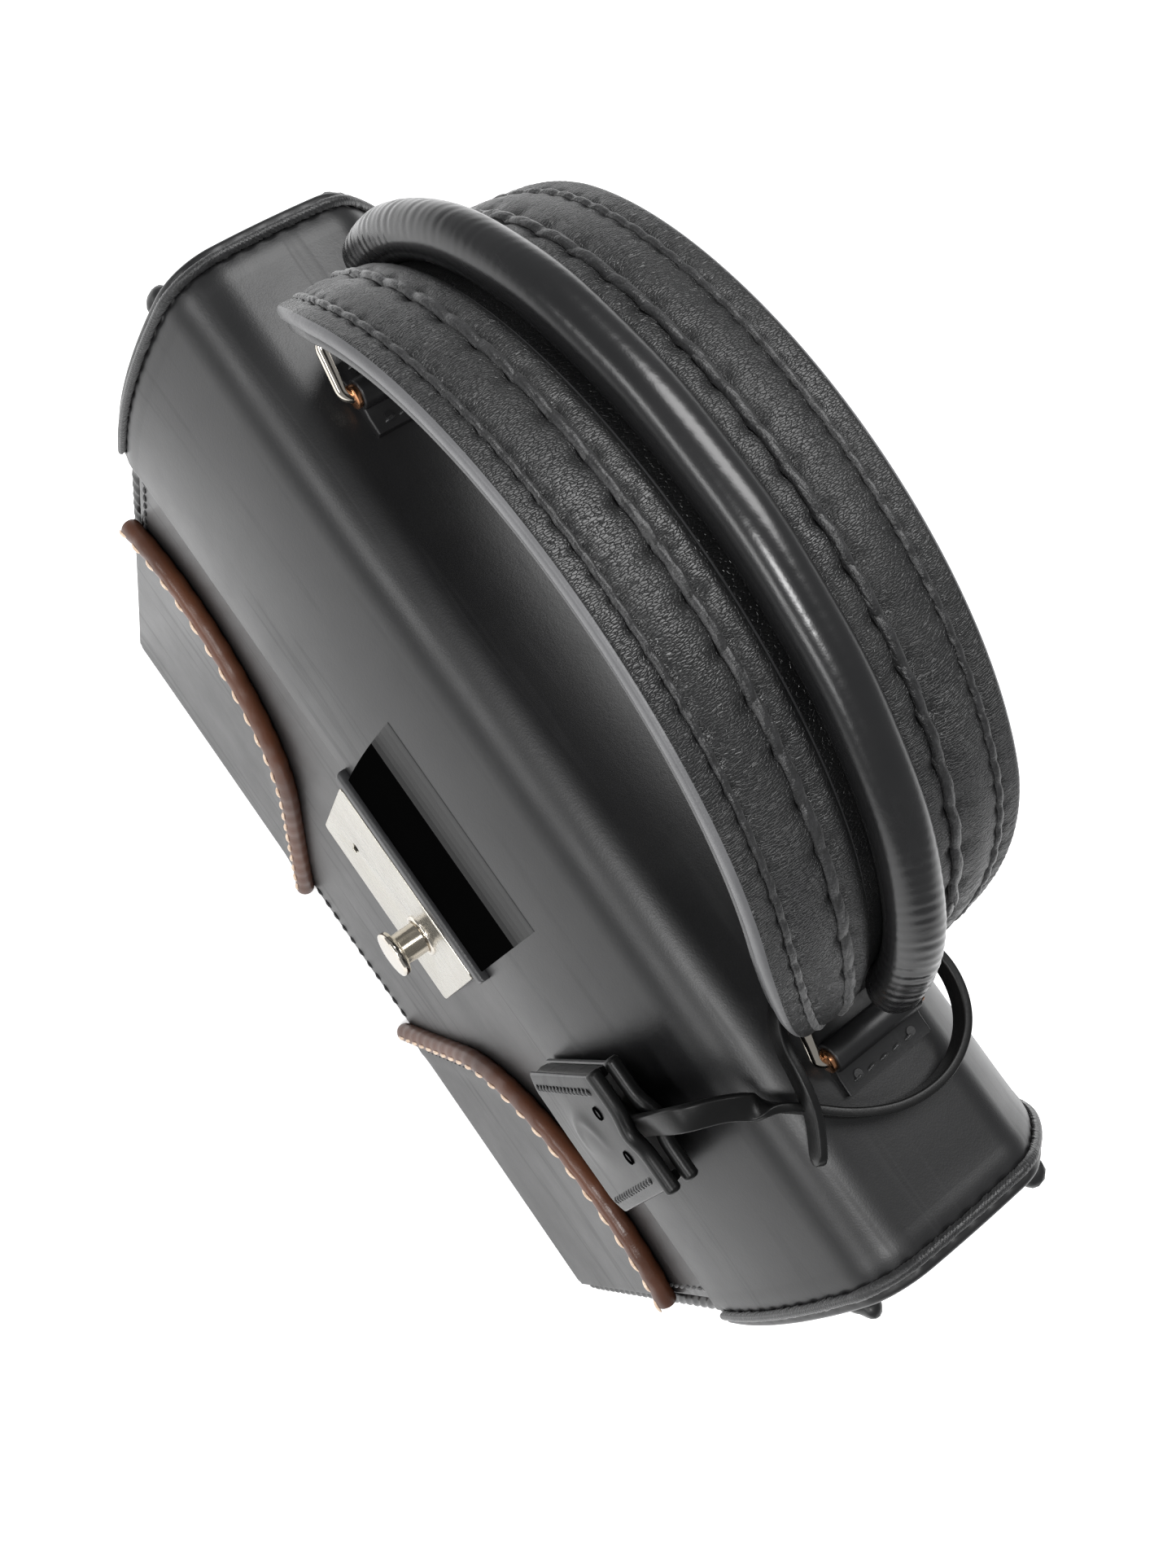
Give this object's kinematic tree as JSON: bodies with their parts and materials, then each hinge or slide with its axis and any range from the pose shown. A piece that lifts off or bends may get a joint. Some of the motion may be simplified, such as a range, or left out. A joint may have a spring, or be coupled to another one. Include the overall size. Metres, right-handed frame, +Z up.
{
  "type": "leather handbag",
  "caption": "Structured box-shaped leather handbag with front flap, push lock, arched corner patches, ring-mounted padded top handle and a key bell on a strap.",
  "frame": {"origin": "middle of the base's underside", "axes": "+X to the bag's right seen from the front, -Y towards the lock side, +Z up through the handle"},
  "size_m": [0.2418, 0.0832, 0.2612],
  "materials": {
    "black_calf": "glossy box calf",
    "handle_calf": "glossy grained calf",
    "strap_calf": "semi-gloss strap leather",
    "brown_piping": "rolled natural tan leather with cream stitches",
    "suede_lining": "matt suede",
    "fibre_board": "stiffening board",
    "polished_nickel": "palladium-toned nickel plate",
    "lock_steel": "brushed",
    "rope_core": "cotton rope"
  },
  "bodies": {
    "case": {"base_panel": "black_calf", "front_panel": "black_calf", "back_panel": "black_calf", "gusset_left": "black_calf", "gusset_right": "black_calf", "front_board": "fibre_board", "back_board": "fibre_board", "base_board": "fibre_board", "lining_front": "suede_lining", "lining_back": "suede_lining", "lining_left": "suede_lining", "lining_right": "suede_lining", "lining_base": "suede_lining", "patch_left": "black_calf", "patch_right": "black_calf", "piping_left": "brown_piping", "piping_right": "brown_piping", "welt_front_left": "black_calf", "welt_front_right": "black_calf", "welt_rear_left": "black_calf", "welt_rear_right": "black_calf", "lock_case": "lock_steel", "lock_plate": "polished_nickel", "button_bush": "polished_nickel", "spring_cup": "lock_steel", "button_spring": "lock_steel", "bolt_spring": "lock_steel", "case_screws": "lock_steel"},
    "flap": {"flap_leather": "black_calf", "flap_lining": "suede_lining", "lock_lip": "black_calf", "strike": "lock_steel", "strike_rivets": "lock_steel", "chape_left": "black_calf", "chape_right": "black_calf", "chape_rivets_left": "lock_steel", "chape_rivets_right": "lock_steel", "strap_loop": "strap_calf"},
    "button": {"push_button": "polished_nickel", "button_washer": "lock_steel"},
    "bolt": {"latch_bolt": "lock_steel"},
    "lever": {"key_lever": "lock_steel"},
    "ring_left": {"ring_left": "polished_nickel"},
    "ring_right": {"ring_right": "polished_nickel"},
    "handle": {"handle_band": "handle_calf", "handle_underband": "handle_calf", "handle_roll": "handle_calf", "handle_core": "rope_core", "handle_end_left": "handle_calf", "handle_end_right": "handle_calf"},
    "keys": {"strap_fall": "strap_calf", "key_ring": "lock_steel", "key_a": "polished_nickel", "key_b": "polished_nickel"},
    "bell": {"bell_front": "black_calf", "bell_back": "black_calf", "bell_hem": "black_calf"}
  },
  "joints": [
    {"name": "flap_hinge", "type": "hinge", "parent": "case", "child": "flap", "pos_m": [0, 0.03506, 0.145], "axis": [-1, 0, 0], "range_deg": [0, 105]},
    {"name": "button_press", "type": "slide", "parent": "case", "child": "button", "axis": [0, 1, 0], "range_m": [0, 0.003], "stiffness_N_per_m": 300, "deforming": ["button_spring"]},
    {"name": "bolt_slide", "type": "slide", "parent": "case", "child": "bolt", "axis": [1, 0, 0], "range_m": [0, 0.0026], "deforming": ["bolt_spring"]},
    {"name": "key_turn", "type": "hinge", "parent": "case", "child": "lever", "pos_m": [-0.015, -0.0373, 0.097], "axis": [0, 1, 0], "range_deg": [0, 90]},
    {"name": "ring_left_swing", "type": "hinge", "parent": "flap", "child": "ring_left", "pos_m": [-0.075, 0, 0.1876], "axis": [0, 1, 0], "range_deg": [-4, 90]},
    {"name": "ring_right_swing", "type": "hinge", "parent": "flap", "child": "ring_right", "pos_m": [0.075, 0, 0.1876], "axis": [0, 1, 0], "range_deg": [-4, 90]},
    {"name": "handle_sway", "type": "hinge", "parent": "ring_left", "child": "handle", "pos_m": [-0.08539, 0, 0.1936], "axis": [0, 1, 0], "range_deg": [-90, 4]},
    {"name": "bell_swing", "type": "hinge", "parent": "flap", "child": "keys", "pos_m": [0.0706, -0.031, 0.187], "axis": [-1, 0, 0], "range_deg": [0, 60]},
    {"name": "bell_slide", "type": "slide", "parent": "keys", "child": "bell", "axis": [0, 0, 1], "range_m": [0, 0.009]}
  ],
  "couplings": [
    {"joint": "bolt_slide", "follows": "button_press", "ratio": 0.8666},
    {"joint": "handle_sway", "follows": "ring_left_swing", "ratio": -1},
    {"joint": "ring_right_swing", "follows": "ring_left_swing", "ratio": 1}
  ]
}
